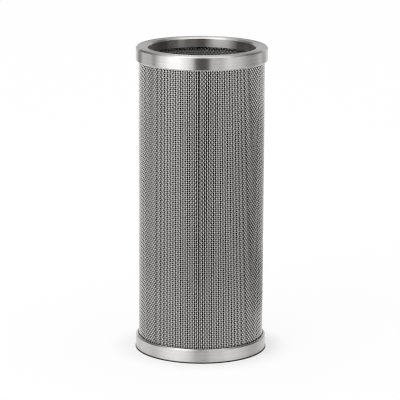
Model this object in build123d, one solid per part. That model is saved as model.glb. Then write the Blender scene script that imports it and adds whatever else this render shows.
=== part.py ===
"""Wire mesh filter cylinder: two turned end rings with a sleeve of woven wire cloth seated between them.

Millimetres. The axis is Z, and the cylinder stands on its lower ring with the origin at the centre of
the base. The front is -Y, and the long seam of the sleeve runs up that side.
"""

import os
from math import cos, radians, sin

from build123d import *

# Overall size
ring_radius = 40.0
total_height = 188.2

# End rings: both are the same turned part, and the upper one is the lower one turned over
ring_height = 8.7
bore_radius = 32.7
outer_chamfer = 0.8
bore_chamfer = 0.95
seat_radius = 38.6
seat_depth = 2.6

# Wire cloth: plain weave, upright warp wires and level weft wires of one gauge
sleeve_radius = 38.36
cloth_thickness = 1.0
wire_diameter = 0.48
warp_count = 220
weft_pitch = 1.225

# Relief of the wires on the wall, and the open places of the weave that go right through it.
# Every warp wire is a ridge outside. Inside, each 24th weft wire is a ridge, away from the ends.
ridge_height = 0.3
ridge_crest = 0.24
weft_step = 24
weft_ridges = 4
gap_rows = 10
gap_columns = 12
gap_width = 0.56
gap_height = 0.75

# Long seam: the edges of the cloth stand a slot apart, and a flat strip welded on inside closes it
seam_angle = 267.8
seam_pitches = 1.65
seam_slot_width = 1.2
seam_strip_width = 3.0
seam_strip_thickness = 0.25
seam_strip_overlap = 0.1

warp_angle = 360 / (warp_count - 1 + seam_pitches)
sleeve_length = total_height - 2 * (ring_height - seat_depth)
sleeve_bottom = ring_height - seat_depth
outer_floor = sleeve_radius - ridge_height
inner_crest = sleeve_radius - cloth_thickness
inner_floor = inner_crest + ridge_height
slot_floor = inner_floor - seam_strip_overlap
strip_face = slot_floor - seam_strip_thickness
weft_spacing = weft_step * weft_pitch


def polar(radius, along, start):
    """The point at a radius, a given length along the sleeve's outer face from the angle start."""
    angle = radians(start) + along / sleeve_radius
    return radius * cos(angle), radius * sin(angle)


def end_ring():
    """One ring with its seat for the sleeve downwards, standing on the lip round the seat."""
    section = Polyline(
        (bore_radius, seat_depth),
        (seat_radius, seat_depth),
        (seat_radius, 0),
        (ring_radius - outer_chamfer, 0),
        (ring_radius, outer_chamfer),
        (ring_radius, ring_height - outer_chamfer),
        (ring_radius - outer_chamfer, ring_height),
        (bore_radius + bore_chamfer, ring_height),
        (bore_radius, ring_height - bore_chamfer),
        close=True,
    )
    return revolve(Plane.XZ * make_face(section), axis=Axis.Z)


def ridge(angle):
    """Section of one warp wire where it stands out of the wall, half of a hexagon."""
    base = wire_diameter / 2
    crest = ridge_crest / 2
    return [
        polar(outer_floor, -base, angle),
        polar(sleeve_radius, -crest, angle),
        polar(sleeve_radius, crest, angle),
        polar(outer_floor, base, angle),
    ]


def seam_slot():
    """Section of the slot between the edges of the cloth, down to the strip that closes it."""
    edge = seam_slot_width / 2
    return [
        polar(outer_floor, -edge, seam_angle),
        polar(slot_floor, -edge, seam_angle),
        polar(slot_floor, edge, seam_angle),
        polar(outer_floor, edge, seam_angle),
    ]


def seam_strip():
    """The strip welded on inside along the seam, let into the wall by its overlap."""
    edge = seam_strip_width / 2
    let_in = inner_floor + seam_strip_overlap
    section = Polyline(
        polar(strip_face, -edge, seam_angle),
        polar(let_in, -edge, seam_angle),
        polar(let_in, edge, seam_angle),
        polar(strip_face, edge, seam_angle),
        close=True,
    )
    return extrude(make_face(section), amount=sleeve_length)


def ridge_angle(number):
    """Angle of a warp ridge, counted round from the right of the seam. Halves fall between ridges."""
    return seam_angle + (number + seam_pitches / 2) * warp_angle


def sleeve_outside():
    """The solid inside the sleeve's outer face: warp ridges all round, and the slot of the seam."""
    outline = seam_slot()
    for number in range(warp_count):
        outline += ridge(ridge_angle(number))
    return extrude(make_face(Polyline(*outline, close=True)), amount=sleeve_length)


def sleeve_inside():
    """The space inside the sleeve, less the weft ridges, which stand into it as rings, and the strip."""
    lowest = (sleeve_length - (weft_ridges - 1) * weft_spacing) / 2
    outline = [(0, 0), (inner_floor, 0)]
    for number in range(weft_ridges):
        middle = lowest + number * weft_spacing
        outline += [
            (inner_floor, middle - wire_diameter / 2),
            (inner_crest, middle - ridge_crest / 2),
            (inner_crest, middle + ridge_crest / 2),
            (inner_floor, middle + wire_diameter / 2),
        ]
    outline += [(inner_floor, sleeve_length), (0, sleeve_length)]
    return revolve(Plane.XZ * make_face(Polyline(*outline, close=True)), axis=Axis.Z) - seam_strip()


def weave_gaps():
    """Open places of the weave, each between two warp ridges and between two weft ridges."""
    spacing = weft_spacing / 2
    lowest = (sleeve_length - (gap_rows - 1) * spacing) / 2
    turn = warp_count // gap_columns
    reach = (outer_floor + inner_floor) / 2
    cutter = Box(2 * cloth_thickness, gap_width, gap_height)
    gaps = []
    for row in range(gap_rows):
        for column in range(gap_columns):
            valley = column * turn + (row % 2) * turn // 2 + 0.5
            place = Location((0, 0, lowest + row * spacing), (0, 0, ridge_angle(valley)))
            gaps.append(place * Pos(reach, 0, 0) * cutter)
    return gaps


def mesh_sleeve():
    """The cloth sleeve, from the seat in the lower ring to the seat in the upper one."""
    wall = sleeve_outside() - sleeve_inside()
    wall -= weave_gaps()
    return Pos(0, 0, sleeve_bottom) * wall


upper_ring = Pos(0, 0, total_height - ring_height) * end_ring()
lower_ring = Pos(0, 0, ring_height) * Rot(180, 0, 0) * end_ring()

nodes = {
    "top_ring": upper_ring,
    "bottom_ring": lower_ring,
    "mesh_sleeve": mesh_sleeve(),
}

os.makedirs("parts", exist_ok=True)
for name, solid in nodes.items():
    export_step(solid, f"parts/{name}.step")
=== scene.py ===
"""Wire mesh filter cylinder: a sleeve of woven wire cloth between two turned steel rings.

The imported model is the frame. Its rings and sleeve give the sizes, the wires are woven here at their
real gauge, and the studio is a pale floor with soft light. Lengths in the properties are metres.
"""

import random
from math import cos, pi, radians, sin

import bmesh
import bpy
from mathutils import Matrix, Quaternion, Vector


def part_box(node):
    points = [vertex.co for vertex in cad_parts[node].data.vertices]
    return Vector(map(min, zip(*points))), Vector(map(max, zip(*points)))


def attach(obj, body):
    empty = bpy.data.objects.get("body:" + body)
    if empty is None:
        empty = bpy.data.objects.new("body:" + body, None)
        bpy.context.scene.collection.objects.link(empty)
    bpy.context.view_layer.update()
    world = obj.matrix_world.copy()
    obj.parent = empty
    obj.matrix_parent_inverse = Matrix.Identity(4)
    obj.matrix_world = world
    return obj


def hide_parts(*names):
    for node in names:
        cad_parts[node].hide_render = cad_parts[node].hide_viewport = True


bl_info = {
    "name": "Wire Mesh Filter Cylinder",
    "version": (1, 0, 0),
    "blender": (4, 5, 0),
    "location": "View3D > Sidebar > Filter",
    "description": "Weaves the wire cloth, turns the end rings and sets the studio of a filter cylinder",
    "category": "Object",
}

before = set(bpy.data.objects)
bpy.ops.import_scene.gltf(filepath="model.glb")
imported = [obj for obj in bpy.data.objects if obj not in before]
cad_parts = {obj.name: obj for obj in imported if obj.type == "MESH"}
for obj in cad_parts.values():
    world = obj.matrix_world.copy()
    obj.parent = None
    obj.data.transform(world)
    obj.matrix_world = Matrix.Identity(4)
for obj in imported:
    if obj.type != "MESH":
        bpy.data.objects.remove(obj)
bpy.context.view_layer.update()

ROOT = "root"
TOP_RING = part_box("top_ring")
BOTTOM_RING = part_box("bottom_ring")
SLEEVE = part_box("mesh_sleeve")
RING_RADIUS = BOTTOM_RING[1].x
RING_HEIGHT = BOTTOM_RING[1].z - BOTTOM_RING[0].z
CLOTH_RADIUS = SLEEVE[1].x

# Seeds of the small errors in the places of the wires.
WARP_SEED = 3
WEFT_SEED = 5

# Facets round the gauze, and steps up the strip of the seam.
GAUZE_STEPS = 192
STRIP_STEPS = 24

# Places nearer than this are one, and edges steeper than these angles stay sharp.
TOUCH = 1e-7
GAUZE_SHARP = radians(30)
RING_SHARP = radians(12)

# Turn of the glare for fine lines that run level round the axis, and for upright ones.
LEVEL_LINES = 0.25
UPRIGHT_LINES = 0.0

# How fast the tool's marks change up a wall, next to their change outwards over a face.
MARKS_UP_WALL = 1.37

# Depth of the finest relief on every metal, in metres.
BUMP_DEPTH = 0.00001

# Places across the cloth, in wire diameters outwards from its middle: the wires turn from painted shade
# to painted highlight between foot and crest, and have the painted highlight again inside the sleeve.
KNUCKLE_FOOT = 0.1
KNUCKLE_CREST = 0.65
INNER_FACE = -0.3

# Share of the light that the fine gauze stops.
GAUZE_COVER = 0.65

# The floor's glow, the share of it at the ring, and the level of the painted shadow, a dark line on the
# floor at the ring's foot.
FLOOR_GLOW = 0.85
GLOW_AT_RING = 0.4
PAINTED_SHADOW_LEVEL = 0.1

# Places on the floor, in ring radii: where the glow is full, where the painted shadow at the ring's foot
# ends, and where the floor inside the ring is pale again.
GLOW_FULL = 1.45
PAINTED_SHADOW_END = 1.02
INNER_FLOOR = 0.9

# Size and facets of the round pieces of the stage.
FLOOR_RADIUS = 30.0
FLOOR_STEPS = 96
CURTAIN_STEPS = 64

# Width of the camera's sensor, in millimetres.
SENSOR_WIDTH = 36.0

# Upright cards that only metal sees: name, degrees round from the front, distance from the axis,
# width, foot, top, level, and the widths of the fading edges, the one at the smaller angle first.
CARDS = (
    ("key_glow", -44, 0.88, 0.74, 0.19, 1.7, 2.0, (0.15, 0.15)),
    ("left_glow", -65, 0.8, 0.42, 0.0, 0.19, 1.9, (0.1, 0.1)),
    ("near_glow", -47, 0.55, 0.38, 0.0, 0.19, 1.9, (0.08, 0.12)),
    ("low_glow", -47, 0.3, 0.2, 0.0, 0.062, 1.9, (0.08, 0.12)),
    ("base_glow", -47, 0.16, 0.11, 0.0, 0.03, 1.9, (0.08, 0.12)),
    ("right_glow", 55, 0.8, 0.55, 0.0, 0.19, 1.9, (0.14, 0.12)),
    ("front_card", 0.2, 0.2, 0.11, 0.0, 0.6, 0.01, (0.02, 0.02)),
    ("front_flag", 26, 0.5, 0.34, 0.2, 0.85, 0.2, (0.05, 0.1)),
    ("right_flag", 93, 0.6, 1.1, 0.19, 0.9, 0.06, (0.15, 0.15)),
    ("right_low", 99, 0.26, 0.17, 0.0, 0.11, 0.1, (0.03, 0.03)),
    ("right_near", 100, 0.13, 0.12, 0.0, 0.035, 0.05, (0.02, 0.02)),
    ("left_flag", -112, 0.6, 0.9, 0.19, 0.6, 0.03, (0.15, 0.15)),
    ("back_flag", 180, 0.9, 1.1, 0.19, 0.6, 0.6, (0.1, 0.1)),
    ("left_line", -89, 0.5, 0.09, 0.0, 0.2, 0.35, (0.02, 0.02)),
    ("rear_left", -136, 0.5, 0.22, 0.0, 0.2, 0.34, (0.04, 0.04)),
    ("rear_right", 137, 0.5, 0.24, 0.0, 0.2, 0.5, (0.04, 0.06)),
)


class ClothSettings(bpy.types.PropertyGroup):
    """Gauge, pitch and lie of the woven wires."""

    wire_diameter: bpy.props.FloatProperty(
        name="Wire diameter",
        description="Gauge of warp and weft wires alike",
        default=0.00048,
        subtype="DISTANCE",
    )
    wire_sides: bpy.props.IntProperty(
        name="Wire sides",
        description="Faces round each wire",
        default=6,
        min=4,
    )
    warp_wires: bpy.props.IntProperty(
        name="Warp wires",
        description="Upright wires round the sleeve",
        default=220,
    )
    seam_pitches: bpy.props.FloatProperty(
        name="Seam pitches",
        description="Distance between the two wires beside the seam, in warp pitches",
        default=1.45,
    )
    weft_rows: bpy.props.IntProperty(
        name="Weft rows",
        description="Level wires from the lower seat to the upper one",
        default=142,
    )
    weft_pitch: bpy.props.FloatProperty(
        name="Weft pitch",
        description="Height from one level wire to the next",
        default=0.0012252,
        subtype="DISTANCE",
    )
    lean: bpy.props.FloatProperty(
        name="Lean",
        description="Turn of the upright wires from the lower end to the upper one",
        default=radians(-0.8),
        subtype="ANGLE",
    )
    scatter: bpy.props.FloatProperty(
        name="Scatter",
        description="Largest error in the place of a wire",
        default=0.00002,
        subtype="DISTANCE",
    )
    seam_angle: bpy.props.FloatProperty(
        name="Seam angle",
        description="Place of the seam at half height, round from the front towards +X",
        default=radians(-2.2),
        subtype="ANGLE",
    )
    weft_end: bpy.props.FloatProperty(
        name="Weft end",
        description="How far a level wire runs on past the last upright one at the seam",
        default=0.0004,
        subtype="DISTANCE",
    )
    gauze_depth: bpy.props.FloatProperty(
        name="Gauze depth",
        description="From the outside of the cloth in to the fine gauze that it carries",
        default=0.0005,
        subtype="DISTANCE",
    )
    gauze_thickness: bpy.props.FloatProperty(
        name="Gauze thickness",
        description="Thickness of the fine gauze",
        default=0.00008,
        subtype="DISTANCE",
    )
    strip_width: bpy.props.FloatProperty(
        name="Strip width",
        description="Width of the strip welded over the seam inside",
        default=0.003,
        subtype="DISTANCE",
    )
    strip_thickness: bpy.props.FloatProperty(
        name="Strip thickness",
        description="Thickness of the welded strip",
        default=0.0002,
        subtype="DISTANCE",
    )


class RingSettings(bpy.types.PropertyGroup):
    """Section of the turned end rings, beyond what the frame gives."""

    bore_radius: bpy.props.FloatProperty(
        name="Bore radius",
        description="Radius of the plain bore",
        default=0.0327,
        subtype="DISTANCE",
    )
    seat_radius: bpy.props.FloatProperty(
        name="Seat radius",
        description="Radius of the seat for the cloth",
        default=0.0386,
        subtype="DISTANCE",
    )
    seat_depth: bpy.props.FloatProperty(
        name="Seat depth",
        description="Depth of the seat, which is the height of the lip round it",
        default=0.0026,
        subtype="DISTANCE",
    )
    outer_chamfer: bpy.props.FloatProperty(
        name="Outer chamfer",
        description="Chamfer on both outer edges",
        default=0.0008,
        subtype="DISTANCE",
    )
    bore_chamfer: bpy.props.FloatProperty(
        name="Bore chamfer",
        description="Chamfer at the mouth of the bore",
        default=0.00095,
        subtype="DISTANCE",
    )
    edge_break: bpy.props.FloatProperty(
        name="Edge break",
        description="Width of the rounding on every turned edge",
        default=0.00012,
        subtype="DISTANCE",
    )
    steps: bpy.props.IntProperty(
        name="Steps",
        description="Facets round each ring",
        default=288,
    )


class FinishSettings(bpy.types.PropertyGroup):
    """Colours of the metals, with the painted highlight and painted shade of the wires."""

    ring_colour: bpy.props.FloatVectorProperty(
        name="Ring colour",
        description="Turned stainless steel",
        default=(0.65, 0.64, 0.625),
        subtype="COLOR",
    )
    # Painted highlight: the wire's colour on its knuckles and inside the sleeve, brighter than the steel
    # itself.
    highlight_wire_colour: bpy.props.FloatVectorProperty(
        name="Wire colour",
        description="Drawn stainless wire where it is burnished, on the faces of the cloth",
        default=(0.9, 0.89, 0.872),
        subtype="COLOR",
    )
    # Painted shade: the wire's colour on its flanks inside the weave, where shade falls.
    shaded_flank_colour: bpy.props.FloatVectorProperty(
        name="Flank colour",
        description="Drawn stainless wire on its tarnished flanks, inside the weave",
        default=(0.08, 0.079, 0.077),
        subtype="COLOR",
    )
    weld_colour: bpy.props.FloatVectorProperty(
        name="Weld colour",
        description="Strip that closes the seam",
        default=(0.4, 0.39, 0.375),
        subtype="COLOR",
    )
    # Painted shade: the gauze is made near black so that the gaps of the weave look dark.
    gauze_shade_colour: bpy.props.FloatVectorProperty(
        name="Gauze colour",
        description="Fine dark gauze that the cloth carries",
        default=(0.03, 0.0295, 0.0285),
        subtype="COLOR",
    )


class StageSettings(bpy.types.PropertyGroup):
    """Camera, floor and sky."""

    distance: bpy.props.FloatProperty(
        name="Camera distance",
        description="From the aim point to the camera",
        default=1.477,
        subtype="DISTANCE",
    )
    elevation: bpy.props.FloatProperty(
        name="Camera elevation",
        description="Angle of the view below the level",
        default=radians(13.01),
        subtype="ANGLE",
    )
    roll: bpy.props.FloatProperty(
        name="Camera roll",
        description="Lean of the camera, which tips the picture clockwise",
        default=radians(0.273),
        subtype="ANGLE",
    )
    aim_height: bpy.props.FloatProperty(
        name="Aim height",
        description="Height of the aim point on the axis",
        default=0.0926,
        subtype="DISTANCE",
    )
    aim_side: bpy.props.FloatProperty(
        name="Aim side",
        description="Sideways place of the camera and its aim",
        default=-0.000724,
        subtype="DISTANCE",
    )
    lens: bpy.props.FloatProperty(
        name="Lens",
        description="Focal length on a 36 mm sensor",
        default=216.6,
        subtype="DISTANCE_CAMERA",
    )
    floor_colour: bpy.props.FloatVectorProperty(
        name="Floor colour",
        description="Pale floor and backdrop",
        default=(0.93, 0.93, 0.93),
        subtype="COLOR",
    )
    sky_level: bpy.props.FloatProperty(
        name="Sky level",
        description="Even light from all round",
        default=1.0,
    )


def euler_x(angle):
    return Matrix.Rotation(angle, 3, "X")


def turn(angle):
    """Rotation about the cylinder's axis."""
    return Matrix.Rotation(angle, 3, "Z")


def front_direction(angle):
    """Unit vector outwards at an angle round from the front, -Y, towards +X."""
    return Vector((sin(angle), -cos(angle), 0))


def added(result, kind):
    """The vertices, edges or faces that an operator has made."""
    return [item for item in result["geom"] if isinstance(item, kind)]


def added_verts(result):
    return added(result, bmesh.types.BMVert)


def add_object(name, mesh_data, material):
    """Turns a bmesh into an object of one material."""
    mesh = bpy.data.meshes.new(name)
    mesh_data.to_mesh(mesh)
    mesh_data.free()
    mesh.materials.append(material)
    made = bpy.data.objects.new(name, mesh)
    bpy.context.collection.objects.link(made)
    return made


def add_piece(name, mesh_data, material, replaced):
    """Turns a bmesh into a piece that rides on the filter and hides the frame part that it replaces."""
    piece = add_object(name, mesh_data, material)
    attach(piece, ROOT)
    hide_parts(replaced)
    return piece


class Weave:
    """Places of the wires in the rolled cloth, worked out from the settings and the sleeve's box."""

    def __init__(self, cloth):
        self.radius = cloth.wire_diameter / 2
        self.middle = CLOTH_RADIUS - cloth.wire_diameter
        self.low = SLEEVE[0].z
        self.high = SLEEVE[1].z
        self.warp_wires = cloth.warp_wires
        self.warp_angle = 2 * pi / (cloth.warp_wires - 1 + cloth.seam_pitches)
        self.rows = cloth.weft_rows
        self.row_pitch = cloth.weft_pitch
        self.first_row = (self.low + self.high - (self.rows - 1) * self.row_pitch) / 2
        self.lean = cloth.lean
        self.seam = cloth.seam_angle - cloth.lean / 2
        self.start = self.seam + self.warp_angle * cloth.seam_pitches / 2

    def height(self, row):
        return self.first_row + row * self.row_pitch

    def lean_at(self, height):
        return self.lean * (height - self.low) / (self.high - self.low)

    def reach(self, number):
        """Distance of a wire from the axis where it passes over or under, by turns."""
        side = 1 if number % 2 == 0 else -1
        return self.middle + side * self.radius


def woven_tube(cloth, weave, stations, section):
    """A tube through the stations, each a point on the wire with its angle from the front.

    The section turns a level circle to face along the wire at its first station.
    """
    tube = bmesh.new()
    first, first_angle = stations[0]
    sides = cloth.wire_sides
    made = bmesh.ops.create_circle(tube, cap_ends=False, segments=sides, radius=weave.radius)
    bmesh.ops.rotate(tube, verts=made["verts"], cent=Vector(), matrix=turn(first_angle) @ section)
    bmesh.ops.translate(tube, verts=made["verts"], vec=first)
    edges = tube.edges[:]
    last, last_angle = first, first_angle
    for place, angle in stations[1:]:
        grown = bmesh.ops.extrude_edge_only(tube, edges=edges)
        verts = added_verts(grown)
        edges = added(grown, bmesh.types.BMEdge)
        bmesh.ops.rotate(tube, verts=verts, cent=last, matrix=turn(angle - last_angle))
        bmesh.ops.translate(tube, verts=verts, vec=place - last)
        last, last_angle = place, angle
    bmesh.ops.holes_fill(tube, edges=tube.edges[:], sides=sides)
    bmesh.ops.recalc_face_normals(tube, faces=tube.faces[:])
    return tube


def warp_stations(weave, number):
    """Along one upright wire: both ends, and each crossing with a row between them."""
    places = [(weave.middle, weave.low)]
    places += [(weave.reach(number + row), weave.height(row)) for row in range(weave.rows)]
    places.append((weave.middle, weave.high))
    stations = []
    for reach, height in places:
        angle = weave.start + weave.lean_at(height)
        stations.append((front_direction(angle) * reach + Vector((0, 0, height)), angle))
    return stations


def weft_stations(cloth, weave, row):
    """Along one level wire: both cut ends beside the seam, and each crossing with an upright wire."""
    run_on = cloth.weft_end / weave.middle
    lift = Vector((0, 0, weave.height(0)))
    numbers = range(weave.warp_wires)
    angles = [weave.start + number * weave.warp_angle for number in numbers]
    reaches = [weave.reach(number + row + 1) for number in numbers]
    angles = [angles[0] - run_on, *angles, angles[-1] + run_on]
    reaches = [reaches[0], *reaches, reaches[-1]]
    return [(front_direction(angle) * reach + lift, angle) for angle, reach in zip(angles, reaches)]


def copy_wires(tube, turns_and_lifts):
    """Adds copies of the tube's first wire, each turned about the axis and lifted."""
    wire = tube.verts[:] + tube.edges[:] + tube.faces[:]
    for angle, lift in turns_and_lifts:
        verts = added_verts(bmesh.ops.duplicate(tube, geom=wire))
        bmesh.ops.rotate(tube, verts=verts, cent=Vector(), matrix=turn(angle))
        bmesh.ops.translate(tube, verts=verts, vec=Vector((0, 0, lift)))


def shade_smooth(tube):
    """Smooth sides, which have four corners, and flat ends."""
    for face in tube.faces:
        face.smooth = len(face.verts) == 4


class OBJECT_OT_weave_warp(bpy.types.Operator):
    """Weave the upright warp wires, in two sets that pass the rows on opposite sides"""

    bl_idname = "object.filter_weave_warp"
    bl_label = "Weave Warp Wires"

    def execute(self, context):
        cloth = context.scene.filter_cloth
        weave = Weave(cloth)
        chance = random.Random(WARP_SEED)
        spread = cloth.scatter / weave.middle
        for first, name in enumerate(("warp_wires_even", "warp_wires_odd")):
            tube = woven_tube(cloth, weave, warp_stations(weave, first), euler_x(0))
            verts = tube.verts[:]
            bmesh.ops.rotate(tube, verts=verts, cent=Vector(), matrix=turn(first * weave.warp_angle))
            copies = []
            for number in range(first + 2, weave.warp_wires, 2):
                error = chance.uniform(-spread, spread)
                copies.append(((number - first) * weave.warp_angle + error, 0))
            copy_wires(tube, copies)
            shade_smooth(tube)
            material = wire_material("warp_wire", UPRIGHT_LINES)
            add_piece(name, tube, material, "mesh_sleeve")
        return {"FINISHED"}


class OBJECT_OT_weave_weft(bpy.types.Operator):
    """Weave the level weft wires, in two sets that pass the upright wires on opposite sides"""

    bl_idname = "object.filter_weave_weft"
    bl_label = "Weave Weft Wires"

    def execute(self, context):
        cloth = context.scene.filter_cloth
        weave = Weave(cloth)
        chance = random.Random(WEFT_SEED)
        for first, name in enumerate(("weft_wires_even", "weft_wires_odd")):
            tube = woven_tube(cloth, weave, weft_stations(cloth, weave, first), euler_x(pi / 2))
            verts = tube.verts[:]
            low_lean = weave.lean_at(weave.height(first))
            bmesh.ops.rotate(tube, verts=verts, cent=Vector(), matrix=turn(low_lean))
            bmesh.ops.translate(tube, verts=verts, vec=Vector((0, 0, first * weave.row_pitch)))
            copies = []
            for row in range(first + 2, weave.rows, 2):
                lift = (row - first) * weave.row_pitch
                error = chance.uniform(-cloth.scatter, cloth.scatter)
                copies.append((weave.lean_at(lift + weave.low), lift + error))
            copy_wires(tube, copies)
            shade_smooth(tube)
            material = wire_material("weft_wire", LEVEL_LINES)
            add_piece(name, tube, material, "mesh_sleeve")
        return {"FINISHED"}


def spun(section, steps):
    """A closed ring spun about the axis from the corners of its section, each a radius and a height."""
    turned = bmesh.new()
    corners = [turned.verts.new((radius, 0, height)) for radius, height in section]
    edges = [turned.edges.new((a, b)) for a, b in zip(corners, corners[1:] + corners[:1])]
    bmesh.ops.spin(
        turned,
        geom=corners + edges,
        cent=Vector(),
        axis=Vector((0, 0, 1)),
        angle=2 * pi,
        steps=steps,
        use_merge=True,
    )
    bmesh.ops.remove_doubles(turned, verts=turned.verts[:], dist=TOUCH)
    bmesh.ops.recalc_face_normals(turned, faces=turned.faces[:])
    for face in turned.faces:
        face.smooth = True
    return turned


class OBJECT_OT_line_sleeve(bpy.types.Operator):
    """Line the cloth with the fine gauze that it carries, whose dark colour is painted shade in the gaps
    of the weave
    """

    bl_idname = "object.filter_line_sleeve"
    bl_label = "Line Sleeve"

    def execute(self, context):
        cloth = context.scene.filter_cloth
        weave = Weave(cloth)
        outer = CLOTH_RADIUS - cloth.gauze_depth
        inner = outer - cloth.gauze_thickness
        low, high = weave.low, weave.high
        gauze = spun(((outer, low), (outer, high), (inner, high), (inner, low)), GAUZE_STEPS)
        piece = add_piece("filter_gauze_painted_shade", gauze, gauze_material(), "mesh_sleeve")
        piece.data.set_sharp_from_angle(angle=GAUZE_SHARP)
        return {"FINISHED"}


class OBJECT_OT_weld_seam(bpy.types.Operator):
    """Weld the strip that closes the rolled cloth over the seam, inside"""

    bl_idname = "object.filter_weld_seam"
    bl_label = "Weld Seam"

    def execute(self, context):
        cloth = context.scene.filter_cloth
        weave = Weave(cloth)
        strip = bmesh.new()
        made = bmesh.ops.create_grid(strip, x_segments=4, y_segments=1, size=0.5)
        verts = made["verts"]
        bmesh.ops.scale(strip, verts=verts, vec=Vector((cloth.strip_width, cloth.strip_thickness, 1)))
        depth = cloth.gauze_depth + cloth.gauze_thickness + cloth.strip_thickness / 2
        bmesh.ops.translate(strip, verts=verts, vec=Vector((0, depth - CLOTH_RADIUS, weave.low)))
        bmesh.ops.rotate(strip, verts=verts, cent=Vector(), matrix=turn(weave.seam))
        faces = strip.faces[:]
        step = (weave.high - weave.low) / STRIP_STEPS
        for _ in range(STRIP_STEPS):
            grown = bmesh.ops.extrude_face_region(strip, geom=faces)
            faces = added(grown, bmesh.types.BMFace)
            verts = added_verts(grown)
            bmesh.ops.rotate(strip, verts=verts, cent=Vector(), matrix=turn(weave.lean / STRIP_STEPS))
            bmesh.ops.translate(strip, verts=verts, vec=Vector((0, 0, step)))
        bmesh.ops.recalc_face_normals(strip, faces=strip.faces[:])
        add_piece("seam_strip", strip, weld_material(), "mesh_sleeve")
        return {"FINISHED"}


def ring_section(ring):
    """Corners of the lower ring's section, radius and height, from the bore round to the bore."""
    seat = RING_HEIGHT - ring.seat_depth
    return [
        (ring.bore_radius, seat),
        (ring.seat_radius, seat),
        (ring.seat_radius, RING_HEIGHT),
        (RING_RADIUS - ring.outer_chamfer, RING_HEIGHT),
        (RING_RADIUS, RING_HEIGHT - ring.outer_chamfer),
        (RING_RADIUS, ring.outer_chamfer),
        (RING_RADIUS - ring.outer_chamfer, 0),
        (ring.bore_radius + ring.bore_chamfer, 0),
        (ring.bore_radius, ring.bore_chamfer),
    ]


def is_rim(edge):
    """Whether an edge runs round the axis, at one height and one radius."""
    first, second = (vert.co for vert in edge.verts)
    return abs(first.z - second.z) < TOUCH and abs(first.xy.length - second.xy.length) < TOUCH


def turned_ring(ring):
    """The lower ring, spun from its section, with every edge slightly rounded."""
    turned = spun(ring_section(ring), ring.steps)
    bmesh.ops.bevel(
        turned,
        geom=[edge for edge in turned.edges if is_rim(edge)],
        offset=ring.edge_break,
        offset_type="WIDTH",
        affect="EDGES",
        segments=2,
        profile=0.5,
        material=-1,
    )
    for face in turned.faces:
        face.smooth = True
    return turned


class OBJECT_OT_turn_rings(bpy.types.Operator):
    """Turn the two end rings, the upper one being the lower one turned over"""

    bl_idname = "object.filter_turn_rings"
    bl_label = "Turn End Rings"

    def execute(self, context):
        ring = context.scene.filter_ring
        for name, node in (("bottom_ring_turned", "bottom_ring"), ("top_ring_turned", "top_ring")):
            turned = turned_ring(ring)
            if node == "top_ring":
                verts = turned.verts[:]
                bmesh.ops.rotate(turned, verts=verts, cent=Vector(), matrix=euler_x(pi))
                bmesh.ops.translate(turned, verts=verts, vec=Vector((0, 0, TOP_RING[1].z)))
            piece = add_piece(name, turned, ring_material(), node)
            piece.data.set_sharp_from_angle(angle=RING_SHARP)
        return {"FINISHED"}


def link(tree, source, target):
    tree.links.new(source, target)


def feed(tree, value, socket):
    """Gives a socket a number or a colour, or links another socket to it."""
    if isinstance(value, bpy.types.NodeSocket):
        link(tree, value, socket)
    else:
        socket.default_value = value


def math_node(tree, operation, *values):
    """Result of a Math node whose inputs are numbers or sockets."""
    node = tree.nodes.new("ShaderNodeMath")
    node.operation = operation
    for socket, value in zip(node.inputs, values):
        feed(tree, value, socket)
    return node.outputs[0]


def smooth_step(tree, value, start, end, low=0.0, high=1.0):
    """A smooth change from low to high as the value goes from start to end."""
    ramp = tree.nodes.new("ShaderNodeMapRange")
    ramp.interpolation_type = "SMOOTHSTEP"
    ramp.inputs["From Min"].default_value = start
    ramp.inputs["From Max"].default_value = end
    ramp.inputs["To Min"].default_value = low
    ramp.inputs["To Max"].default_value = high
    link(tree, value, ramp.inputs["Value"])
    return ramp.outputs[0]


def mixed_colour(tree, share, first, second):
    """The first colour at share 0 and the second at share 1, each a colour or a socket."""
    mix = tree.nodes.new("ShaderNodeMix")
    mix.data_type = "RGBA"
    link(tree, share, mix.inputs["Factor"])
    feed(tree, first, mix.inputs["A"])
    feed(tree, second, mix.inputs["B"])
    return mix.outputs["Result"]


def distance_from_axis(tree, point):
    """Distance of a point from the cylinder's axis."""
    level = tree.nodes.new("ShaderNodeVectorMath")
    level.operation = "MULTIPLY"
    level.inputs[1].default_value = (1.0, 1.0, 0.0)
    reach = tree.nodes.new("ShaderNodeVectorMath")
    reach.operation = "LENGTH"
    link(tree, point, level.inputs[0])
    link(tree, level.outputs["Vector"], reach.inputs[0])
    return reach.outputs["Value"]


def new_group(name, inputs, outputs):
    """A shader node group: inputs have a name, a type and a default, and outputs a name and a type."""
    group = bpy.data.node_groups.new(name, "ShaderNodeTree")
    for label, kind, default in inputs:
        socket = group.interface.new_socket(name=label, in_out="INPUT", socket_type=kind)
        socket.default_value = default
    for label, kind in outputs:
        group.interface.new_socket(name=label, in_out="OUTPUT", socket_type=kind)
    return group, group.nodes.new("NodeGroupInput"), group.nodes.new("NodeGroupOutput")


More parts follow.
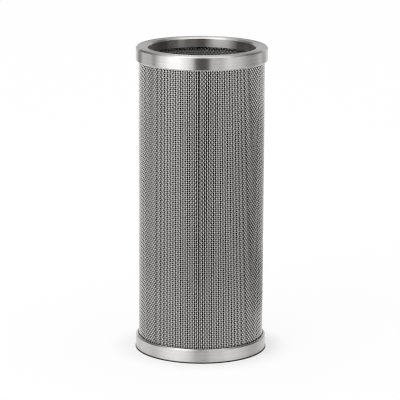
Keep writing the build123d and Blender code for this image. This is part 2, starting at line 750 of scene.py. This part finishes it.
def turning_marks():
    """Group: fine lines left by the tool on a part turned about Z, as a height and as a streak mask."""
    name = "Turning Marks"
    if name in bpy.data.node_groups:
        return bpy.data.node_groups[name]
    group, given, out = new_group(
        name,
        [("Line Scale", "NodeSocketFloat", 5000.0), ("Streak Scale", "NodeSocketFloat", 900.0)],
        [("Height", "NodeSocketFloat"), ("Streaks", "NodeSocketFloat")],
    )
    place = group.nodes.new("ShaderNodeTexCoord")
    split = group.nodes.new("ShaderNodeSeparateXYZ")
    link(group, place.outputs["Object"], split.inputs[0])
    radius = distance_from_axis(group, place.outputs["Object"])
    across = math_node(group, "MULTIPLY_ADD", split.outputs["Z"], MARKS_UP_WALL, radius)
    for label, output, detail in (("Line Scale", "Height", 1.0), ("Streak Scale", "Streaks", 2.0)):
        noise = group.nodes.new("ShaderNodeTexNoise")
        noise.noise_dimensions = "1D"
        noise.inputs["Detail"].default_value = detail
        link(group, across, noise.inputs["W"])
        link(group, given.outputs[label], noise.inputs["Scale"])
        link(group, noise.outputs[0], out.inputs[output])
    return group


def surface_wear():
    """Group: soft patches of duller and brighter metal, as a colour and a roughness that vary."""
    name = "Surface Wear"
    if name in bpy.data.node_groups:
        return bpy.data.node_groups[name]
    group, given, out = new_group(
        name,
        [
            ("Colour", "NodeSocketColor", (0.5, 0.5, 0.5, 1.0)),
            ("Dull Colour", "NodeSocketColor", (0.4, 0.4, 0.4, 1.0)),
            ("Roughness", "NodeSocketFloat", 0.3),
            ("Roughness Range", "NodeSocketFloat", 0.1),
            ("Patch Scale", "NodeSocketFloat", 60.0),
            ("Mask", "NodeSocketFloat", 0.5),
        ],
        [("Colour", "NodeSocketColor"), ("Roughness", "NodeSocketFloat")],
    )
    place = group.nodes.new("ShaderNodeTexCoord")
    noise = group.nodes.new("ShaderNodeTexNoise")
    noise.inputs["Detail"].default_value = 4.0
    link(group, place.outputs["Object"], noise.inputs["Vector"])
    link(group, given.outputs["Patch Scale"], noise.inputs["Scale"])
    both = math_node(group, "ADD", noise.outputs[0], given.outputs["Mask"])
    ramp = group.nodes.new("ShaderNodeMapRange")
    ramp.inputs["From Min"].default_value = 0.35
    ramp.inputs["From Max"].default_value = 0.65
    link(group, math_node(group, "MULTIPLY", both, 0.5), ramp.inputs["Value"])
    colours = (given.outputs["Colour"], given.outputs["Dull Colour"])
    link(group, mixed_colour(group, ramp.outputs[0], *colours), out.inputs["Colour"])
    centred = math_node(group, "SUBTRACT", ramp.outputs[0], 0.5)
    rough = math_node(
        group,
        "ADD",
        given.outputs["Roughness"],
        math_node(group, "MULTIPLY", centred, given.outputs["Roughness Range"]),
    )
    link(group, rough, out.inputs["Roughness"])
    return group


def place_group(tree, group, **values):
    """Puts a group in a material with its own values, named with underscores for spaces."""
    node = tree.nodes.new("ShaderNodeGroup")
    node.node_tree = group
    for label, value in values.items():
        node.inputs[label.replace("_", " ")].default_value = value
    return node


def spread_across(tree, shader, anisotropy, turned):
    """Spreads the glare across fine lines, which run level or upright as the turn says."""
    shader.inputs["Anisotropic"].default_value = anisotropy
    shader.inputs["Anisotropic Rotation"].default_value = turned
    tangent = tree.nodes.new("ShaderNodeTangent")
    tangent.direction_type = "RADIAL"
    tangent.axis = "Z"
    link(tree, tangent.outputs[0], shader.inputs["Tangent"])


def new_metal(name, bump_strength):
    """A metal material, and its tree, shader and bump node."""
    material = bpy.data.materials.new(name)
    material.use_nodes = True
    tree = material.node_tree
    shader = tree.nodes["Principled BSDF"]
    shader.inputs["Metallic"].default_value = 1.0
    bump = tree.nodes.new("ShaderNodeBump")
    bump.inputs["Strength"].default_value = bump_strength
    bump.inputs["Distance"].default_value = BUMP_DEPTH
    link(tree, bump.outputs["Normal"], shader.inputs["Normal"])
    return material, tree, shader, bump


def opaque(colour, level=1.0):
    """A colour scaled by a level, at full alpha."""
    return (colour[0] * level, colour[1] * level, colour[2] * level, 1.0)


def ring_material():
    """Stainless steel off the lathe, with fine tool marks and a glare that spreads across them."""
    name = "turned_steel"
    if name in bpy.data.materials:
        return bpy.data.materials[name]
    colour = bpy.context.scene.filter_finish.ring_colour
    material, tree, shader, bump = new_metal(name, bump_strength=0.1)
    spread_across(tree, shader, anisotropy=0.95, turned=LEVEL_LINES)
    marks = place_group(tree, turning_marks(), Line_Scale=5000.0, Streak_Scale=900.0)
    wear = place_group(
        tree,
        surface_wear(),
        Colour=opaque(colour),
        Dull_Colour=opaque(colour, 0.9),
        Roughness=0.34,
        Roughness_Range=0.06,
        Patch_Scale=45.0,
    )
    link(tree, marks.outputs["Streaks"], wear.inputs["Mask"])
    link(tree, wear.outputs["Colour"], shader.inputs["Base Color"])
    link(tree, wear.outputs["Roughness"], shader.inputs["Roughness"])
    link(tree, marks.outputs["Height"], bump.inputs["Height"])
    return material


def painted_highlight_mask(tree):
    """1 on the knuckles, where a wire stands out of the cloth, and inside the sleeve, else 0: where the
    wires get their painted highlight rather than their painted shade.
    """
    diameter = bpy.context.scene.filter_cloth.wire_diameter
    place = tree.nodes.new("ShaderNodeTexCoord")
    reach = distance_from_axis(tree, place.outputs["Object"])
    proud = math_node(tree, "SUBTRACT", reach, CLOTH_RADIUS - diameter)
    diameters = math_node(tree, "DIVIDE", proud, diameter)
    knuckles = smooth_step(tree, diameters, KNUCKLE_FOOT, KNUCKLE_CREST)
    inside = math_node(tree, "LESS_THAN", diameters, INNER_FACE)
    return math_node(tree, "MAXIMUM", knuckles, inside)


def wire_material(name, turned):
    """Drawn wire with a painted highlight on the knuckles of the cloth and painted shade on its flanks,
    with fine lines that are turned along it.
    """
    if name in bpy.data.materials:
        return bpy.data.materials[name]
    finish = bpy.context.scene.filter_finish
    material = dull_metal(name, finish.highlight_wire_colour, roughness=0.22)
    tree = material.node_tree
    shader = tree.nodes["Principled BSDF"]
    spread_across(tree, shader, anisotropy=0.7, turned=turned)
    wear_and_highlight = shader.inputs["Base Color"].links[0].from_socket
    # Painted highlight on the knuckles and inside the sleeve, painted shade on the flanks between them.
    colour = mixed_colour(tree, painted_highlight_mask(tree), opaque(finish.shaded_flank_colour), wear_and_highlight)
    link(tree, colour, shader.inputs["Base Color"])
    return material


def dull_metal(name, colour, roughness):
    """Dull metal with a fine grain, in soft patches of a brighter and a darker tone."""
    if name in bpy.data.materials:
        return bpy.data.materials[name]
    material, tree, shader, bump = new_metal(name, bump_strength=0.2)
    wear = place_group(
        tree,
        surface_wear(),
        Colour=opaque(colour),
        Dull_Colour=opaque(colour, 0.88),
        Roughness=roughness,
        Roughness_Range=0.12,
        Patch_Scale=420.0,
    )
    link(tree, wear.outputs["Colour"], shader.inputs["Base Color"])
    link(tree, wear.outputs["Roughness"], shader.inputs["Roughness"])
    place = tree.nodes.new("ShaderNodeTexCoord")
    grain = tree.nodes.new("ShaderNodeTexNoise")
    grain.inputs["Scale"].default_value = 9000.0
    link(tree, place.outputs["Object"], grain.inputs["Vector"])
    link(tree, grain.outputs[0], bump.inputs["Height"])
    return material


def weld_material():
    """Steel of the strip that is welded over the seam."""
    return dull_metal("welded_strip", bpy.context.scene.filter_finish.weld_colour, roughness=0.4)


def gauze_material():
    """Gauze, too fine to model, that lets a part of the light through; its dark colour is painted shade
    in the gaps of the weave.
    """
    colour = bpy.context.scene.filter_finish.gauze_shade_colour
    # Painted shade: the dark colour darkens the gaps of the weave, while the alpha is the light that the
    # gauze really stops.
    material = dull_metal("fine_gauze", colour, roughness=0.6)
    material.node_tree.nodes["Principled BSDF"].inputs["Alpha"].default_value = GAUZE_COVER
    return material


def seen_or_mirrored(tree):
    """1 for rays from the camera and for those that metal or glass sends on, else 0."""
    path = tree.nodes.new("ShaderNodeLightPath")
    direct = math_node(tree, "MAXIMUM", path.outputs["Is Camera Ray"], path.outputs["Is Glossy Ray"])
    return math_node(tree, "MAXIMUM", direct, path.outputs["Is Transmission Ray"])


def glowing_material(name, other):
    """A material whose surface mixes the other shader with a glow, its tree, and the three nodes."""
    material = bpy.data.materials.new(name)
    material.use_nodes = True
    tree = material.node_tree
    tree.nodes.clear()
    base = tree.nodes.new(other)
    glow = tree.nodes.new("ShaderNodeEmission")
    mix = tree.nodes.new("ShaderNodeMixShader")
    out = tree.nodes.new("ShaderNodeOutputMaterial")
    link(tree, base.outputs[0], mix.inputs[1])
    link(tree, glow.outputs[0], mix.inputs[2])
    link(tree, mix.outputs[0], out.inputs["Surface"])
    return material, tree, base, glow, mix


def floor_material(colour):
    """Pale floor that glows where it is seen, less so near the ring, and not inside it.

    It has a painted shadow: a thin dark line in its colour at the foot of the ring.
    """
    material, tree, matt, _, mix = glowing_material("pale_floor", "ShaderNodeBsdfDiffuse")
    place = tree.nodes.new("ShaderNodeTexCoord")
    reach = distance_from_axis(tree, place.outputs["Object"])
    full = RING_RADIUS * GLOW_FULL
    clear = smooth_step(tree, reach, RING_RADIUS, full, FLOOR_GLOW * GLOW_AT_RING, FLOOR_GLOW)
    # Painted shadow: in a thin band at the ring's foot the floor's colour drops to a tenth and its glow
    # is cut.
    past_painted_shadow = smooth_step(tree, reach, RING_RADIUS, RING_RADIUS * PAINTED_SHADOW_END)
    bright = math_node(tree, "MULTIPLY", clear, past_painted_shadow)
    link(tree, math_node(tree, "MULTIPLY", seen_or_mirrored(tree), bright), mix.inputs["Fac"])
    inside = math_node(tree, "LESS_THAN", reach, RING_RADIUS * INNER_FLOOR)
    off_painted_shadow = math_node(tree, "MAXIMUM", past_painted_shadow, inside)
    pale = mixed_colour(tree, off_painted_shadow, opaque(colour, PAINTED_SHADOW_LEVEL), opaque(colour))
    link(tree, pale, matt.inputs["Color"])
    return material


def plain_sky(level):
    """White where it is seen or mirrored, and an even soft light for the rest."""
    world = bpy.data.worlds.new("studio_sky")
    bpy.context.scene.world = world
    world.use_nodes = True
    tree = world.node_tree
    background = tree.nodes["Background"]
    background.inputs["Color"].default_value = (1.0, 1.0, 1.0, 1.0)
    lifted = math_node(tree, "MULTIPLY", seen_or_mirrored(tree), 1.0 - level)
    link(tree, math_node(tree, "ADD", lifted, level), background.inputs["Strength"])


def add_lamp(name, angle, distance, width, low, high, radiance):
    """An upright soft box round from the front, as bright as a surface of the given radiance."""
    light = bpy.data.lights.new(name, "AREA")
    light.shape = "RECTANGLE"
    light.size = width
    light.size_y = high - low
    light.energy = radiance * pi * width * (high - low)
    lamp = bpy.data.objects.new(name, light)
    lamp.location = front_direction(angle) * distance + Vector((0, 0, (low + high) / 2))
    lamp.rotation_mode = "QUATERNION"
    lamp.rotation_quaternion = (-front_direction(angle)).to_track_quat("-Z", "Y")
    bpy.context.collection.objects.link(lamp)


def card_material(name, level, side=None, edges=()):
    """Glow of one level, which fades out at edges: pairs of places along the side's direction."""
    material, tree, _, glow, mix = glowing_material(name, "ShaderNodeBsdfTransparent")
    glow.inputs["Color"].default_value = (level, level, level, 1.0)
    mix.inputs["Fac"].default_value = 1.0
    if edges:
        place = tree.nodes.new("ShaderNodeTexCoord")
        along = tree.nodes.new("ShaderNodeVectorMath")
        along.operation = "DOT_PRODUCT"
        along.inputs[1].default_value = side
        link(tree, place.outputs["Object"], along.inputs[0])
        masks = [smooth_step(tree, along.outputs["Value"], clear, full) for clear, full in edges]
        link(tree, math_node(tree, "MULTIPLY", *masks), mix.inputs["Fac"])
    return material


def show_to_metal(name, card, material):
    """Puts a card on the stage where only reflections show it."""
    sheet = add_object(name, card, material)
    sheet.visible_camera = False
    sheet.visible_diffuse = False
    sheet.visible_shadow = False


def add_card(name, angle, distance, width, low, high, level, fades):
    """An upright card that only metal sees, with upright edges that fade over the given widths."""
    card = bmesh.new()
    made = bmesh.ops.create_grid(card, x_segments=1, y_segments=1, size=0.5)
    verts = made["verts"]
    bmesh.ops.scale(card, verts=verts, vec=Vector((width, high - low, 1)))
    bmesh.ops.rotate(card, verts=verts, cent=Vector(), matrix=euler_x(pi / 2))
    bmesh.ops.translate(card, verts=verts, vec=Vector((0, -distance, (low + high) / 2)))
    bmesh.ops.rotate(card, verts=verts, cent=Vector(), matrix=turn(angle))
    half = width / 2
    edges = ((-half, fades[0] - half), (half, half - fades[1]))
    show_to_metal(name, card, card_material(name, level, turn(angle) @ Vector((1, 0, 0)), edges))


def add_curtain(name, radius, low, high, level):
    """A curtain all round that only metal sees."""
    curtain = bmesh.new()
    made = bmesh.ops.create_circle(curtain, cap_ends=False, segments=CURTAIN_STEPS, radius=radius)
    bmesh.ops.translate(curtain, verts=made["verts"], vec=Vector((0, 0, low)))
    grown = bmesh.ops.extrude_edge_only(curtain, edges=curtain.edges[:])
    bmesh.ops.translate(curtain, verts=added_verts(grown), vec=Vector((0, 0, high - low)))
    show_to_metal(name, curtain, card_material(name, level))


def add_overhead(name, height, radius, ahead, level):
    """A round soft box overhead that only metal sees."""
    card = bmesh.new()
    made = bmesh.ops.create_circle(card, cap_ends=True, segments=CURTAIN_STEPS, radius=radius)
    bmesh.ops.translate(card, verts=made["verts"], vec=Vector((0, -ahead, height)))
    show_to_metal(name, card, card_material(name, level))


class OBJECT_OT_set_stage(bpy.types.Operator):
    """Set the floor, the soft light and the camera"""

    bl_idname = "object.filter_set_stage"
    bl_label = "Set Stage"

    def execute(self, context):
        stage = context.scene.filter_stage
        self.add_floor(stage)
        plain_sky(stage.sky_level)
        add_lamp(
            "key_box",
            angle=radians(-44),
            distance=0.9,
            width=0.69,
            low=0.19,
            high=1.7,
            radiance=1.0,
        )
        for name, degrees, *sizes_and_level, fades in CARDS:
            add_card(name, radians(degrees), *sizes_and_level, fades)
        add_curtain("curtain", radius=1.1, low=0.54, high=1.5, level=0.45)
        add_overhead("overhead", height=1.0, radius=0.5, ahead=0.2, level=1.8)
        self.add_camera(context, stage)
        return {"FINISHED"}

    def add_floor(self, stage):
        sheet = bmesh.new()
        bmesh.ops.create_circle(sheet, cap_ends=True, segments=FLOOR_STEPS, radius=FLOOR_RADIUS)
        floor = add_object("floor", sheet, floor_material(stage.floor_colour))

    def add_camera(self, context, stage):
        data = bpy.data.cameras.new("camera")
        data.lens = stage.lens
        data.sensor_width = SENSOR_WIDTH
        data.clip_start = 0.05
        data.clip_end = 100.0
        camera = bpy.data.objects.new("camera", data)
        aim = Vector((stage.aim_side, 0, stage.aim_height))
        back = Vector((0, -cos(stage.elevation), sin(stage.elevation)))
        camera.location = aim + back * stage.distance
        camera.rotation_mode = "QUATERNION"
        rolled = Quaternion((0, 0, 1), stage.roll)
        camera.rotation_quaternion = (-back).to_track_quat("-Z", "Y") @ rolled
        context.collection.objects.link(camera)
        context.scene.camera = camera


class VIEW3D_PT_filter(bpy.types.Panel):
    """Sidebar panel that lists the steps of the filter cylinder"""

    bl_label = "Filter Cylinder"
    bl_idname = "VIEW3D_PT_filter"
    bl_space_type = "VIEW_3D"
    bl_region_type = "UI"
    bl_category = "Filter"

    def draw(self, context):
        scene = context.scene
        for name in SETTINGS:
            settings = getattr(scene, name)
            box = self.layout.box()
            for label in settings.__annotations__:
                box.prop(settings, label)
        for step in STEPS:
            self.layout.operator(step.bl_idname)


SETTINGS = {
    "filter_cloth": ClothSettings,
    "filter_ring": RingSettings,
    "filter_finish": FinishSettings,
    "filter_stage": StageSettings,
}
STEPS = (
    OBJECT_OT_weave_warp,
    OBJECT_OT_weave_weft,
    OBJECT_OT_line_sleeve,
    OBJECT_OT_weld_seam,
    OBJECT_OT_turn_rings,
    OBJECT_OT_set_stage,
)


def register():
    for group in SETTINGS.values():
        bpy.utils.register_class(group)
    for kind in (*STEPS, VIEW3D_PT_filter):
        bpy.utils.register_class(kind)
    for name, group in SETTINGS.items():
        setattr(bpy.types.Scene, name, bpy.props.PointerProperty(type=group))


def unregister():
    for name in SETTINGS:
        delattr(bpy.types.Scene, name)
    for kind in (VIEW3D_PT_filter, *reversed(STEPS)):
        bpy.utils.unregister_class(kind)
    for group in SETTINGS.values():
        bpy.utils.unregister_class(group)


def main():
    register()
    bpy.ops.object.filter_weave_warp()
    bpy.ops.object.filter_weave_weft()
    bpy.ops.object.filter_line_sleeve()
    bpy.ops.object.filter_weld_seam()
    bpy.ops.object.filter_turn_rings()
    bpy.ops.object.filter_set_stage()
    bpy.context.scene.view_settings.view_transform = "Standard"
    bpy.context.scene.cycles.pixel_filter_type = "BOX"
    bpy.context.scene.cycles.denoising_prefilter = "NONE"


if __name__ == "__main__":
    main()
